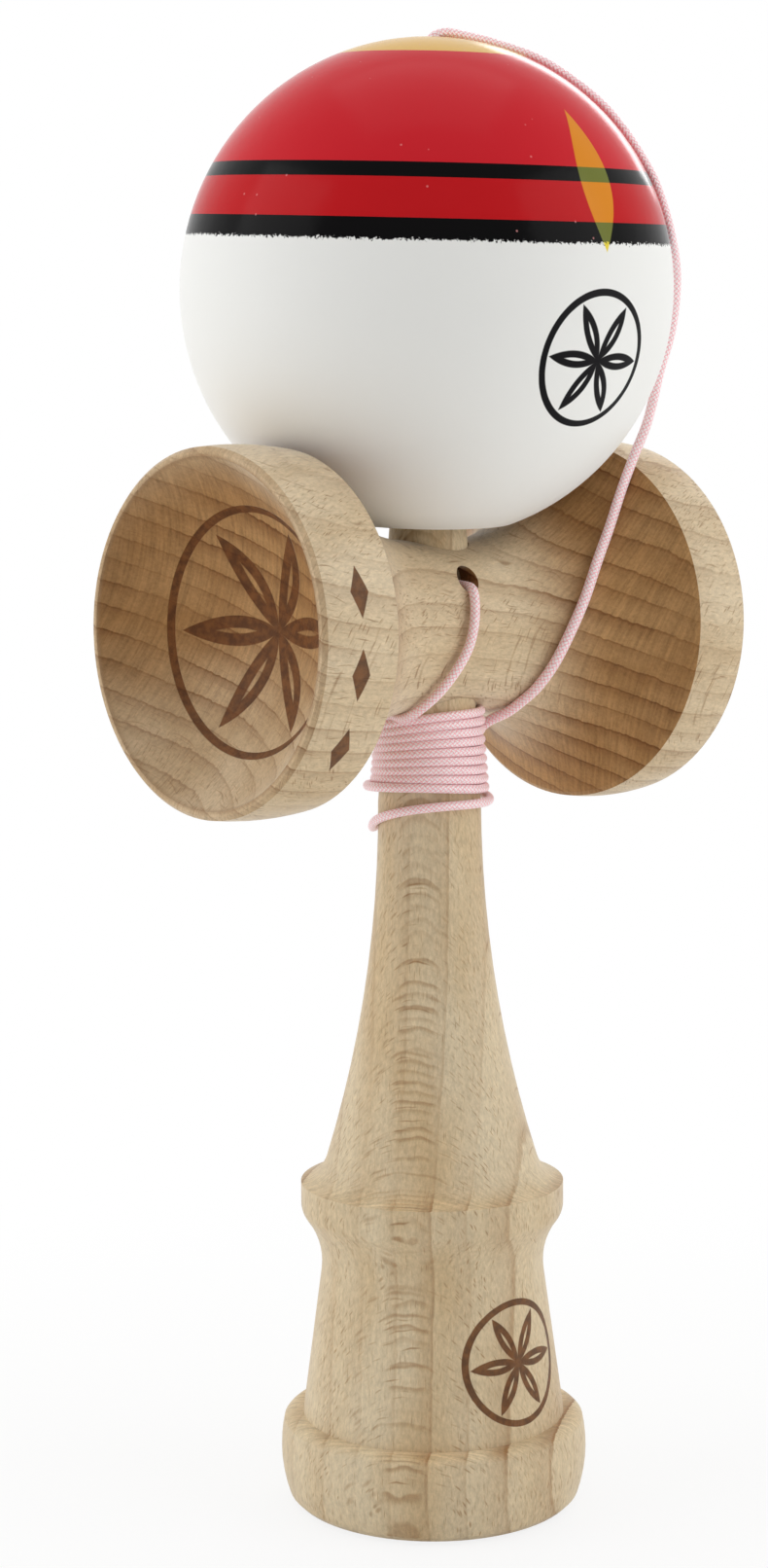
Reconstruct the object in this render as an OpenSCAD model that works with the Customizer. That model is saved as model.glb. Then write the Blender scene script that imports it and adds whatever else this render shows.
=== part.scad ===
// Kendama: a turned handle with a spike and a base cup, a crosspiece with two cups pushed
// over the handle's tenon, and a holed ball that sits on the spike, tied on by one cord.
// Z runs up the handle from the base ring, X runs along the crosspiece, -Y is the side with the cord hole.

/* [Ball] */
// Diameter of the ball
ball_d = 60; // [56:0.5:66]
// Diameter of the ball's main hole
ball_hole_d = 21; // [19:0.5:24]
// Wood left over the main hole, at the ball's top
ball_roof = 11; // [8:0.5:14]
// Round at the mouth of the main hole
ball_mouth_round = 1.2; // [0.6:0.1:2]
// Diameter of the small hole that the cord leaves by
ball_cord_hole_d = 3.2; // [2.6:0.1:4]
// Angle that the loose ball leans on the spike
ball_lean = 6.6; // [4:0.2:7.4]
// Direction of the lean, turned from +X about Z
ball_lean_dir = 243; // [230:1:255]
// Air between the resting ball and the cup edge that carries it
ball_rest_gap = 0.15; // [0.1:0.05:0.4]

/* [Crosspiece] */
// Diameter of the waist
waist_d = 21; // [20:0.2:22]
// Half length of the straight part of the waist
waist_flat = 4; // [3:0.5:6]
// Diameter of the big cup at its edges
big_cup_d = 45.6; // [44:0.2:48]
// Distance from the handle's axis to the rim of the big cup
big_cup_reach = 33.3; // [32.6:0.1:36]
// Length of the big cup's outer band
big_cup_band = 9.2; // [8:0.1:9.6]
// Diameter of the small cup at its edges
small_cup_d = 42.6; // [40:0.2:44]
// Distance from the handle's axis to the rim of the small cup
small_cup_reach = 35.6; // [35:0.1:38]
// Length of the small cup's outer band
small_cup_band = 11.3; // [9.5:0.1:12]
// Swell of a band at its middle
band_crown = 0.4; // [0.2:0.1:0.8]
// Width of a cup's lip
cup_lip = 1; // [0.7:0.1:1.6]
// Width of the bevel that breaks the sharp edges of a cup and of the base
edge_break = 0.4; // [0.2:0.05:0.6]
// Depth of a bowl
bowl_depth = 11.5; // [9:0.5:12.5]

/* [Cord hole] */
// Diameter of the cord hole in the crosspiece
cord_hole_d = 3.2; // [2.8:0.1:3.6]
// Wood left over the cord hole, where the tenon comes out of the waist
cord_hole_wall = 1.8; // [1.2:0.1:2.2]
// Turn of the cord hole from -Y towards -X
cord_hole_turn = 11; // [6:1:14]
// Diameter of the cord's way through the tenon
tenon_hole_d = 2.6; // [2.4:0.1:3]

/* [Base] */
// Largest diameter of the base ring
ring_d = 38.6; // [37:0.2:42]
// Diameter of the base ring where it stands
ring_foot_d = 36.2; // [35.4:0.2:36.6]
// Height of the base ring
ring_h = 10.6; // [10:0.2:13]
// Height of the base ring's widest place
ring_belly = 6.2; // [5:0.2:7]
// Round on the base ring's upper edge
ring_round = 2; // [1:0.1:2.6]
// Diameter of the base cup at its mouth
base_cup_d = 32.6; // [30:0.2:33.6]
// Depth of the base cup
base_cup_depth = 9; // [6:0.5:11]

/* [Skirt and flange] */
// Diameter of the skirt where it leaves the base ring
skirt_d = 33; // [31:0.2:34]
// Smallest diameter between the base and the flange
throat_d = 27.9; // [26:0.1:29.4]
// Height of the throat above the base ring
throat_rise = 19.4; // [17:0.2:22]
// Radius of the hollow under the flange
throat_hollow = 9.3; // [8.8:0.1:10]
// Diameter of the flange
flange_d = 33; // [32.4:0.2:35]
// Height of the flange's rim above the throat
flange_rise = 10.5; // [10:0.1:12]
// Round under the flange's rim
flange_round = 3; // [2.4:0.1:3.4]
// Depth of the dish behind the flange's upper edge
flange_dish = 0.3; // [0.1:0.05:0.5]
// Radius of the cove between the flange and the grip
flange_cove = 4.2; // [3.8:0.1:4.6]

/* [Grip] */
// Length of the grip's long hollow curve, from the flange to the neck
grip_l = 47.5; // [46:0.5:50]
// Radius of the grip's hollow curve
grip_sweep = 150; // [140:1:165]
// Diameter at the top of the grip
neck_d = 12.8; // [12.4:0.1:13.6]
// Length of the neck's taper
neck_taper = 8; // [6:0.5:9]
// Diameter of the seat that the crosspiece stands on
seat_d = 11.6; // [11:0.1:12]
// Length of the straight seat
seat_l = 7.3; // [6:0.1:8]
// How far the seat's shoulder lies under the crosspiece's axis
seat_drop = 6.5; // [5.5:0.1:7]
// Diameter of the tenon
tenon_d = 10; // [9.4:0.1:10.4]
// Radial clearance of the tenon and the seat in the crosspiece
seat_fit = 0.05; // [0.02:0.01:0.1]

/* [Spike] */
// Room between the spike's tip and the knot in the ball
tip_room = 3.7; // [2:0.1:8]
// Height above the crosspiece's axis where the spike starts to taper
spike_start = 9; // [8:0.5:11]
// Diameter of the round tip
spike_tip_d = 4; // [3:0.2:5]

/* [Cord] */
// Diameter of the cord
cord_d = 1.4; // [1.2:0.1:1.5]
// Diameter of one strand of the winding, drawn tight
strand_d = 0.86; // [0.7:0.02:0.88]
// Rise of one turn of the winding
turn_pitch = 1.3; // [1.3:0.02:1.34]
// Turns round the neck
turn_count = 10.125; // [9.125:1:10.125]
// Extra drop of the loose last turn
loose_drop = 1.6; // [1:0.1:1.8]
// Lean of the turns across the neck
turn_lean = 0.3; // [0:0.05:0.4]

/* [Bead and knots] */
// Diameter of the bead inside the ball
bead_d = 8; // [6:0.5:9]
// Height of the bead between its flats
bead_h = 6; // [4:0.5:6.5]
// Diameter of the bead's bore
bead_bore_d = 2.2; // [2:0.1:3]
// Diameter of each knot
knot_d = 4; // [3.6:0.1:4.4]
// Air under a seated bead or knot
knot_gap = 0.1; // [0.05:0.05:0.3]

/* [Hidden] */
$fn = 120;
beech = "burlywood";
cord_pink = "pink";
past = 1;

// Radii
ball_r = ball_d / 2;
ball_hole_r = ball_hole_d / 2;
waist_r = waist_d / 2;
big_r = big_cup_d / 2;
small_r = small_cup_d / 2;
ring_r = ring_d / 2;
foot_r = ring_foot_d / 2;
skirt_r = skirt_d / 2;
throat_r = throat_d / 2;
flange_r = flange_d / 2;
neck_r = neck_d / 2;
seat_r = seat_d / 2;
tenon_r = tenon_d / 2;
tip_r = spike_tip_d / 2;
cord_r = cord_d / 2;
knot_r = knot_d / 2;

// Heights up the handle
throat_z = ring_h + throat_rise;
flange_z = throat_z + flange_rise;
grip_top = flange_z + grip_l;
seat_z = grip_top + neck_taper;
shoulder_z = seat_z + seat_l;
cross_z = shoulder_z + seat_drop;
waist_top = sqrt(pow(waist_r, 2) - pow(tenon_r + seat_fit, 2));
cord_hole_z = cross_z + waist_top - cord_hole_d / 2 - cord_hole_wall;

// Radius of the circle through a chord's ends, from half the chord and its rise
function rise_radius(half, rise) = (half * half + rise * rise) / (2 * rise);

// Centres of the handle's arcs
throat_c = [throat_r + throat_hollow, throat_z];
rim_dx = throat_c.x - (flange_r - flange_round);
rim_c = [flange_r - flange_round,
         throat_z + sqrt(pow(throat_hollow + flange_round, 2) - rim_dx * rim_dx)];
rim_turn = throat_c + (rim_c - throat_c) * throat_hollow / norm(rim_c - throat_c);
grip_c = [neck_r + grip_sweep, grip_top];
cove_z = flange_z - flange_dish + flange_cove;
cove_c = [grip_c.x - sqrt(pow(grip_sweep - flange_cove, 2) - pow(grip_top - cove_z, 2)), cove_z];
cove_turn = grip_c + (cove_c - grip_c) * grip_sweep / norm(cove_c - grip_c);
skirt_foot = [skirt_r, ring_h];
skirt_way = skirt_foot - throat_c;
skirt_a = atan2(skirt_way.y, skirt_way.x) - acos(throat_hollow / norm(skirt_way));
skirt_turn = throat_c + throat_hollow * [cos(skirt_a), sin(skirt_a)];

// Outside radius of the crosspiece's flare at a distance from the handle's axis
function flare_radius(edge, r) = rise_radius(edge - waist_flat, r - edge_break - waist_r);
function flare_r_at(x, edge, r) =
    waist_r + flare_radius(edge, r) - sqrt(pow(flare_radius(edge, r), 2) - pow(max(x - waist_flat, 0), 2));

// The ball rests where its underside, outside its hole, first meets a flare or the bevel of a cup's edge
big_edge = big_cup_reach - big_cup_band;
small_edge = small_cup_reach - small_cup_band;
hole_side = ball_hole_r - ball_r * sin(ball_lean);
rest_steps = 40;
function rest_rise(x) = sqrt(max(pow(ball_r + ball_rest_gap, 2) - x * x, 0));
function rest_z(edge, r) = cross_z + max(
    r + rest_rise(edge + edge_break),
    max([for (i = [0 : rest_steps]) let (x = hole_side + (edge - hole_side) * i / rest_steps)
         flare_r_at(x, edge, r) + rest_rise(x)]));
ball_z = max(rest_z(big_edge, big_r), rest_z(small_edge, small_r));
bead_seat = ball_r - ball_roof;
bead_z = bead_seat - knot_gap - bead_h;
bead_knot_z = bead_z - knot_gap;
bead_knot_cut = knot_r / 2;
tip_z = ball_z + bead_knot_z - bead_knot_cut - knot_r - tip_room;

// A place on the ball's own axis, at a height from its centre
ball_axis = [sin(ball_lean) * cos(ball_lean_dir), sin(ball_lean) * sin(ball_lean_dir), cos(ball_lean)];
function ball_point(h) = [0, 0, ball_z] + h * ball_axis;

// A place along the cord hole, measured out from the handle's axis
hole_way = [-sin(cord_hole_turn), -cos(cord_hole_turn), 0];
function hole_point(s) = [0, 0, cord_hole_z] + s * hole_way;
handle_knot_s = -(tenon_r - knot_r) + knot_gap;
handle_knot_cut = handle_knot_s + sqrt(knot_r * knot_r - pow(tenon_hole_d / 2 + knot_gap, 2)) - knot_gap;

// Outside radius of the handle at a height on its neck
function neck_r_at(z) =
    z > seat_z ? seat_r :
    z > grip_top ? neck_r + (seat_r - neck_r) * (z - grip_top) / neck_taper :
    grip_c.x - sqrt(grip_sweep * grip_sweep - pow(grip_top - z, 2));

// The winding goes down the neck clockwise, seen from above
turn_rings = 24;
wind_gap = 0.1;
wind_top = 98.5;
wind_start = 184;
wind_high = -43;
packed_turns = turn_count - 1.125;
function wind_a(t) = wind_start - 360 * t;
function wind_drop(t) = loose_drop * pow(max(t - packed_turns, 0) / 1.125, 2);
function wind_z(t) = wind_top - turn_pitch * t - wind_drop(t) + turn_lean * cos(wind_a(t) - wind_high);
function wind_r(t) = neck_r_at(wind_z(t)) + wind_gap + cord_r;
function wind_point(t) = [wind_r(t) * cos(wind_a(t)), wind_r(t) * sin(wind_a(t)), wind_z(t)];
function wind_way(t) = [sin(wind_a(t)), -cos(wind_a(t)), 0];
wind_steps = round(turn_count * turn_rings);
wind_in = wind_point(0);
wind_out = wind_point(turn_count);
wind_path = concat(
    [wind_in - strand_d * wind_way(0)],
    [for (i = [0 : wind_steps]) wind_point(i * turn_count / wind_steps)],
    [wind_out + strand_d * wind_way(turn_count)]);
wind_gaps = [for (i = [0 : len(wind_path) - 1]) for (j = [i + turn_rings / 2 : len(wind_path) - 1])
             norm(wind_path[i] - wind_path[j])];
echo("least gap between turns of the winding, mm", min(wind_gaps) - strand_d);

// The cord's lead: out of the cord hole, over the waist and down to the first turn
lead_hand = [[-2, -9.3, 115.3], [-2.6, -10.5, 114.4], [-2.9, -11.2, 112.4], [-3.4, -11.5, 110],
             [-4.1, -11.3, 107.5], [-5.3, -10.6, 105], [-6.6, -9.1, 102.4], [-7.6, -6.8, 100.2],
             [-7.5, -3.8, 98.8]];
lead_path = concat(
    [hole_point(handle_knot_cut), hole_point(2), hole_point(7.4)],
    lead_hand,
    [wind_in - (strand_d + cord_d) * wind_way(0), wind_in - strand_d * wind_way(0)]);

// The cord's run: up behind the winding, over the big cup's flare, up the ball and in at its top
run_hand = [[-2.4, 7.5, 83.4], [0.8, 8.5, 85], [4.4, 7.6, 88], [7.2, 5.1, 91.5], [8.6, 1.8, 95],
            [8.7, -1.2, 97.3], [9.2, -4.6, 98.6], [9.3, -6.9, 99.7], [9.6, -9, 101.3],
            [10.4, -11.5, 104.9], [12, -12.9, 109], [14, -13.4, 113], [16.4, -13.2, 117.4],
            [19.1, -12.8, 121.7], [21.9, -12.3, 126.4], [24.2, -12.2, 130.6], [25.3, -13.5, 135],
            [25.6, -15.4, 141], [26.2, -16.3, 146], [26.3, -16.6, 151], [26, -16.3, 155],
            [24.9, -15.6, 160.4], [23.1, -14.6, 165.6], [18.8, -12.1, 172.6], [12.5, -8.6, 178],
            [6.5, -5.2, 181.2], [2.6, -3.8, 182.4], [0, -3.2, 182.4], [-1.3, -3.1, 180.9]];
run_path = concat(
    [wind_out + strand_d * wind_way(turn_count), wind_out + (strand_d + cord_d) * wind_way(turn_count)],
    run_hand,
    [ball_point(ball_r - 3), ball_point(ball_r - 7), ball_point(bead_knot_z)]);

// A tube of flat sides swept along a path, its first side kept from twisting
function unit(v) = v / norm(v);
function path_way(p, i) = unit(p[min(i + 1, len(p) - 1)] - p[max(i - 1, 0)]);
function square_to(v, way) = unit(v - (v * way) * way);
function path_sides(p, first) =
    [for (i = 0, u = square_to(first, path_way(p, 0)); i < len(p);
          i = i + 1, u = i < len(p) ? square_to(u, path_way(p, i)) : u) u];
module tube(path, d, sides, first) {
    side = path_sides(path, first);
    last = len(path) - 1;
    spots = [for (i = [0 : last]) for (k = [0 : sides - 1])
             let (a = 360 * k / sides)
             path[i] + d / 2 * (cos(a) * side[i] + sin(a) * cross(path_way(path, i), side[i]))];
    low_cap = [for (k = [1 : sides - 2]) [0, k, k + 1]];
    top_cap = [for (k = [1 : sides - 2]) [last * sides, last * sides + k + 1, last * sides + k]];
    wall = [for (i = [0 : last - 1]) for (k = [0 : sides - 1])
            let (n = (k + 1) % sides, a = i * sides, b = (i + 1) * sides)
            each [[a + k, b + k, b + n], [a + k, b + n, a + n]]];
    polyhedron(points = spots, faces = concat(low_cap, top_cap, wall));
}

// Turned outline of the base ring, the skirt and the flange
module base_outline() {
    intersection() {
        union() {
            polygon([[0, 0], [foot_r - edge_break, 0], [ring_r, edge_break + ring_r - foot_r],
                     [ring_r, ring_h - ring_round], [0, ring_h - ring_round]]);
            translate([0, ring_belly]) square([ring_r - ring_round, ring_h - ring_belly]);
            translate([ring_r - ring_round, ring_h - ring_round]) circle(ring_round);
        }
        translate([ring_r - rise_radius(ring_belly, ring_r - foot_r), ring_belly])
            circle(rise_radius(ring_belly, ring_r - foot_r));
    }
    polygon([[0, ring_belly], [skirt_r - ring_round, ring_belly], skirt_foot, skirt_turn, [0, skirt_turn.y]]);
    difference() {
        translate([0, skirt_turn.y]) square([rim_turn.x, rim_c.y - skirt_turn.y]);
        translate(throat_c) circle(throat_hollow);
    }
    translate(rim_c) circle(flange_round);
}

// Turned outline of the flange's upper side, the grip, the neck and the tenon
module grip_outline() {
    difference() {
        translate([0, rim_c.y]) square([flange_r, cove_turn.y - rim_c.y]);
        translate(cove_c) circle(flange_cove);
    }
    difference() {
        translate([0, cove_turn.y]) square([cove_turn.x, grip_top - cove_turn.y]);
        translate(grip_c) circle(grip_sweep, $fn = 900);
    }
    polygon([[0, grip_top], [neck_r, grip_top], [seat_r, seat_z], [seat_r, shoulder_z], [0, shoulder_z]]);
}

// Turned outline of the tenon and the spike, whose taper meets the round tip without a corner
module spike_outline() {
    taper_z = cross_z + spike_start;
    tip_c = [0, tip_z - tip_r];
    way = [tenon_r, taper_z] - tip_c;
    tip_a = atan2(way.y, way.x) + acos(tip_r / norm(way));
    tip_turn = tip_c + tip_r * [cos(tip_a), sin(tip_a)];
    foot_z = shoulder_z - past;
    polygon([[0, foot_z], [tenon_r, foot_z], [tenon_r, taper_z], tip_turn, [0, tip_turn.y]]);
    intersection() {
        translate(tip_c) circle(tip_r);
        translate([0, tip_turn.y]) square([tip_r, tip_r * 2]);
    }
}

module handle() {
    cup_ball = rise_radius(base_cup_d / 2, base_cup_depth);
    color(beech) difference() {
        rotate_extrude() difference() {
            union() {
                base_outline();
                grip_outline();
                spike_outline();
            }
            translate([0, base_cup_depth - cup_ball]) circle(cup_ball);
        }
        along_hole(-tenon_r - past) cylinder(d = tenon_hole_d, h = 2 * (tenon_r + past));
        along_hole(-tenon_r - past)
            cylinder(r = knot_r + knot_gap, h = past + tenon_r + handle_knot_cut + knot_gap);
    }
}

// Puts its children on the cord hole's axis, their Z pointing out of the hole
module along_hole(s) {
    translate(hole_point(s)) rotate([0, 0, -cord_hole_turn]) rotate([90, 0, 0]) children();
}

// Turned outline of one cup with its flare to the waist, its rim at the top
module cup_outline(r, reach, band) {
    edge = reach - band;
    back_r = r - edge_break;
    flare = flare_radius(edge, r);
    crown = rise_radius(band / 2, band_crown);
    out = r + band_crown;
    slope = edge_break + band_crown;
    bowl = rise_radius(r - cup_lip, bowl_depth);
    difference() {
        union() {
            translate([0, -past]) square([waist_r, edge + past]);
            difference() {
                translate([0, waist_flat]) square([back_r, edge - waist_flat]);
                translate([waist_r + flare, waist_flat]) circle(flare);
            }
            intersection() {
                polygon([[0, edge], [back_r, edge], [out, edge + slope],
                         [out, reach - slope], [back_r, reach], [0, reach]]);
                translate([out - crown, edge + band / 2]) circle(crown);
            }
        }
        translate([0, reach + bowl - bowl_depth]) circle(bowl);
    }
}

module crosspiece() {
    color(beech) difference() {
        translate([0, 0, cross_z]) rotate([0, 90, 0]) rotate_extrude() {
            cup_outline(big_r, big_cup_reach, big_cup_band);
            mirror([0, 1]) cup_outline(small_r, small_cup_reach, small_cup_band);
        }
        translate([0, 0, cross_z - waist_d]) cylinder(r = tenon_r + seat_fit, h = 2 * waist_d);
        translate([0, 0, cross_z - waist_d]) cylinder(r = seat_r + seat_fit, h = waist_d - seat_drop);
        along_hole(0) cylinder(d = cord_hole_d, h = waist_d);
    }
}

// Puts its children on the ball's own axis, from the ball's centre
module on_ball(h) {
    translate(ball_point(h)) rotate([0, ball_lean, ball_lean_dir]) children();
}

module ball() {
    mouth_z = -sqrt(ball_r * ball_r - pow(ball_hole_r + ball_mouth_round, 2));
    round_c = [ball_hole_r + ball_mouth_round, mouth_z + ball_mouth_round];
    color("firebrick") on_ball(0) rotate_extrude() difference() {
        intersection() {
            circle(ball_r);
            translate([0, -ball_r]) square([ball_r, 2 * ball_r]);
        }
        translate([0, -ball_r - past]) square([ball_hole_r, past + ball_r + bead_seat]);
        difference() {
            translate([0, -ball_r - past]) square([round_c.x, past + ball_r + round_c.y]);
            translate(round_c) circle(ball_mouth_round);
        }
        square([ball_cord_hole_d / 2, ball_r + past]);
    }
}

module ball_bead() {
    color("tan") on_ball(bead_z) rotate_extrude() difference() {
        intersection() {
            translate([0, bead_h / 2]) circle(d = bead_d);
            square([bead_d, bead_h]);
        }
        translate([0, -past]) square([bead_bore_d / 2, bead_h + 2 * past]);
    }
}

// A drawn-up knot, cut flat where the cord comes in
module knot(cut) {
    rotate_extrude() intersection() {
        circle(knot_r);
        translate([0, -knot_r]) square([knot_r, knot_r + cut]);
    }
}

module bead_knot() {
    color(cord_pink) on_ball(bead_knot_z - bead_knot_cut) knot(bead_knot_cut);
}

module handle_knot() {
    color(cord_pink) along_hole(handle_knot_s) knot(handle_knot_cut - handle_knot_s);
}

module cord_lead() { color(cord_pink) tube(lead_path, cord_d, 8, [0, 0, 1]); }

module cord_winding() { color(cord_pink) tube(wind_path, strand_d, 6, [0, 0, 1]); }

module cord_run() { color(cord_pink) tube(run_path, cord_d, 8, [0, 0, 1]); }

handle();
crosspiece();
ball();
ball_bead();
bead_knot();
handle_knot();
cord_lead();
cord_winding();
cord_run();
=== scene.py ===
# %% [markdown]
# # A kendama: dressing a CAD frame in Blender
#
# The CAD frame gives every part its true size and place. This lesson adds what the eye
# reads after the shape: beech grain, gloss paint, a braided cord, light and a camera.

# %% Load the frame
from math import cos, pi, radians, sin, sqrt

import bmesh
import bpy
import numpy as np
from mathutils import Matrix, Vector


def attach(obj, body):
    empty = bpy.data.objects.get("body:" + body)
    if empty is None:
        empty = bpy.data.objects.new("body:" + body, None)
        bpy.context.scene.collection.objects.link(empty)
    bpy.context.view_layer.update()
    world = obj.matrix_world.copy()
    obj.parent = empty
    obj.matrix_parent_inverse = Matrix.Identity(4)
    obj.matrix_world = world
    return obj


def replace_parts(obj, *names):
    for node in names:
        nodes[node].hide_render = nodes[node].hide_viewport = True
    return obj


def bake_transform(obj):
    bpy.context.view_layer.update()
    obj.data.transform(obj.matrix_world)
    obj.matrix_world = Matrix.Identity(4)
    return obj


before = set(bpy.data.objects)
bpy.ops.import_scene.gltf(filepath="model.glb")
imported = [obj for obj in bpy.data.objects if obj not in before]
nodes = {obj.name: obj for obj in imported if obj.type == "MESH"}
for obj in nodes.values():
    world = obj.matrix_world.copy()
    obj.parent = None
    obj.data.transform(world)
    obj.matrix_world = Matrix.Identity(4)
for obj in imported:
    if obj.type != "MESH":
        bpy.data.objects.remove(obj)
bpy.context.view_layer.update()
scene = bpy.context.scene
MM = 0.001  # metres in a millimetre
TO_MM = (1000, 1000, 1000)  # scale that turns object coordinates into millimetres
UP = Vector((0, 0, 1))
print("nodes:", sorted(nodes))

# %% [markdown]
# ## The camera
# The photograph was taken from a little above the crosspiece and left of the cord hole.
# A camera can be placed by eye, or solved from outlines of known size. It was solved here,
# so the numbers below are its place, its aim and its lens. The film is measured along the
# tall side of the picture.

# %% Camera
CAMERA_AT = Vector((-219.4525, -231.8711, 121.4475))
CAMERA_TURN, CAMERA_PITCH, CAMERA_ROLL = radians(42.412), radians(5.5939), radians(-0.467)
FILM_HEIGHT, LENS = 36, 59.3315

level = Vector((sin(CAMERA_TURN), cos(CAMERA_TURN), 0))
look = level * cos(CAMERA_PITCH) - UP * sin(CAMERA_PITCH)
side = Vector((cos(CAMERA_TURN), -sin(CAMERA_TURN), 0))
over = side.cross(look)
picture_right = cos(CAMERA_ROLL) * side + sin(CAMERA_ROLL) * over
picture_up = cos(CAMERA_ROLL) * over - sin(CAMERA_ROLL) * side
lens = bpy.data.cameras.new("picture_camera")
lens.sensor_fit, lens.sensor_height, lens.lens = "VERTICAL", FILM_HEIGHT, LENS
lens.clip_start, lens.clip_end = 0.01, 20
camera = bpy.data.objects.new("picture_camera", lens)
camera_axes = Matrix((picture_right, picture_up, -look)).transposed().to_4x4()
camera.matrix_world = Matrix.Translation(CAMERA_AT * MM) @ camera_axes
scene.collection.objects.link(camera)
scene.camera = camera
scene.view_settings.view_transform = "Standard"
print("camera", round((CAMERA_AT - 100 * UP).length), "mm from the middle of the toy")

# %% [markdown]
# ## The cord's route
# One braided cord ties the toy together. It starts at a knot in the tenon, leaves by the
# cord hole, falls over the waist, winds ten times round the neck, climbs behind the winding,
# runs up over the ball and goes in at its top. A curve with a bevel would draw it, but a
# tube made ring by ring also gets a UV map that follows the braid, so this is done here.
# Every point carries a fourth number, the cord's radius there, because a cord drawn tight
# round wood is thinner than one that hangs free.

# %% Places that the cord passes, in millimetres
BALL_AT, BALL_R = Vector((0, 0, 150.3166)), 30.0
BALL_AXIS = Vector((-0.0521804, -0.1024098, 0.9933728))
CROSS_Z = 109.8  # height of the crosspiece's axis
HOLE_Z, HOLE_TURN = 115.606, radians(11)  # the cord hole's height, and its turn from the front
CORD_EXIT = (-1.95, -9.5, 114.55)  # where the cord comes out of its hole
NECK_TOP, NECK_FOOT = 96, 88  # heights between which the neck tapers
NECK_TOP_R, NECK_FOOT_R, GRIP_ARC_R = 5.8, 6.4, 150


def in_hole(s, z=HOLE_Z):
    """The point on the cord hole's line, s in front of the handle's axis."""
    return (-s * sin(HOLE_TURN), -s * cos(HOLE_TURN), z)


def in_ball(h):
    """The point on the ball's axis, h above its centre."""
    return tuple(BALL_AT + h * BALL_AXIS)


def over_ball(x, y, z, far):
    """The point in the direction of (x, y, z) that is this far from the ball's centre."""
    way = Vector((x, y, z)) - BALL_AT
    return tuple(BALL_AT + way * (far / way.length))


top_side = Vector((6.6, -5.4, 180)) - BALL_AT  # the side of the ball's top hole that the cord comes from
top_side = (top_side - BALL_AXIS * top_side.dot(BALL_AXIS)).normalized()


def by_top_hole(out, h):
    """The point beside the ball's axis, out towards the cord's side and h above the ball's centre."""
    return tuple(BALL_AT + h * BALL_AXIS + out * top_side)


def neck_radius(z):
    """The radius of the wood under the winding: a straight neck, a taper, then the grip's arc."""
    if z > NECK_TOP:
        return NECK_TOP_R
    if z > NECK_FOOT:
        return NECK_FOOT_R + (NECK_TOP_R - NECK_FOOT_R) * (z - NECK_FOOT) / (NECK_TOP - NECK_FOOT)
    return NECK_FOOT_R + GRIP_ARC_R - sqrt(GRIP_ARC_R**2 - (NECK_FOOT - z) ** 2)


print("the cord hole is %.1f mm above the crosspiece's axis" % (HOLE_Z - CROSS_Z))

# %% [markdown]
# ### The winding
# Cord wound by hand isn't a neat helix. Each turn leans, the pitch is a little less than the
# cord's thickness, and the last turn hangs slack with two bulges. So the helix gets a lean
# that follows the turn, and its last turn drops away.

# %% The winding
PICTURE_RIGHT_TURN = radians(316.6)  # the turns lean towards the right of the picture
TURNS, TIGHT_TURNS = 10.125, 9
WINDING_TOP, WINDING_PITCH, START_DEGREES = 99.45, 1.055, 184
LAST_DROP = 4  # how far the last turn falls
WOUND_R, WOUND_OFF = 0.57, 0.62  # the wound cord's radius, and its centre's distance from the wood


def bump_at(t, centre, width):
    """A smooth bulge of height 1 at the centre."""
    return np.exp(-(((t - centre) / width) ** 2))


def winding(t):
    """The cord after t turns: its place and its radius."""
    turn = radians(START_DEGREES - 360 * t)
    lean = turn - PICTURE_RIGHT_TURN
    slack = max(t - TIGHT_TURNS, 0) / (TURNS - TIGHT_TURNS)
    leaning = (0.75 - 0.13 * t) * cos(lean) - 0.2 * cos(2 * lean)
    z = WINDING_TOP - WINDING_PITCH * t + leaning - LAST_DROP * slack**4.5
    bulge = 0.85 * bump_at(t, 9.13, 0.17) + 0.45 * bump_at(t, 9.63, 0.16)
    r = neck_radius(z) + WOUND_OFF + bulge
    return (r * cos(turn), r * sin(turn), z, WOUND_R)


wound = [winding(t) for t in np.linspace(0, TURNS, 244)]
print("the winding reaches from %.1f down to %.1f mm" % (wound[0][2], wound[-1][2]))

# %% The whole route
LEAD_R = 0.61  # the cord's radius before the winding
lead = [in_hole(-1.57), in_hole(2, 115.3), in_hole(7.2, 114.85), CORD_EXIT, (-2.4, -10.5, 113.8),
        (-2.8, -11.1, 112.2), (-3.4, -11.5, 110), (-4.1, -11.3, 107.5), (-5.3, -10.6, 105),
        (-6.6, -9.1, 102.4), (-7.5, -6.6, 100.2), (-7.2, -3.2, 98.9)]
behind_winding = [(-2.6, 7.4, 84.5), (0.8, 8.4, 85.6), (4.4, 7.7, 88), (7.2, 5.1, 91.5), (8.6, 1.8, 95),
                  (8.8, -1.3, 97.4), (9.1, -4.6, 98.8), (9.3, -6.9, 100.2)]
beside_waist = [(9.7, -9.3, 102.1), (10.5, -11.5, 105.1), (12, -12.8, 109), (14, -13.3, 113),
                (16.4, -13.1, 117.4), (19.1, -12.7, 121.7), (21.9, -12.2, 126.4), (24.2, -12.2, 130.6),
                (25.3, -13.5, 135), (25.6, -15.2, 141)]
on_ball = [over_ball(26, -16.3, 146, 31.3), over_ball(25.9, -16.7, 151, 31.5),
           over_ball(25.5, -16.6, 155, 31.6), over_ball(24.3, -16, 160.4, 31.6),
           over_ball(22.4, -15.1, 165.6, 31.6), over_ball(18.2, -12.7, 172.6, 31.5),
           over_ball(12.1, -9, 177.9, 31.2), over_ball(6.6, -5.6, 180.7, 30.8)]
into_ball = [by_top_hole(3.4, 30.43), by_top_hole(1.76, 30.56), by_top_hole(0.36, 30.2),
             by_top_hole(-0.66, 29.18), by_top_hole(-1.04, 27.8), by_top_hole(-0.6, 24),
             in_ball(19.5), in_ball(12.8)]
run = behind_winding + beside_waist + on_ball + into_ball
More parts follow.
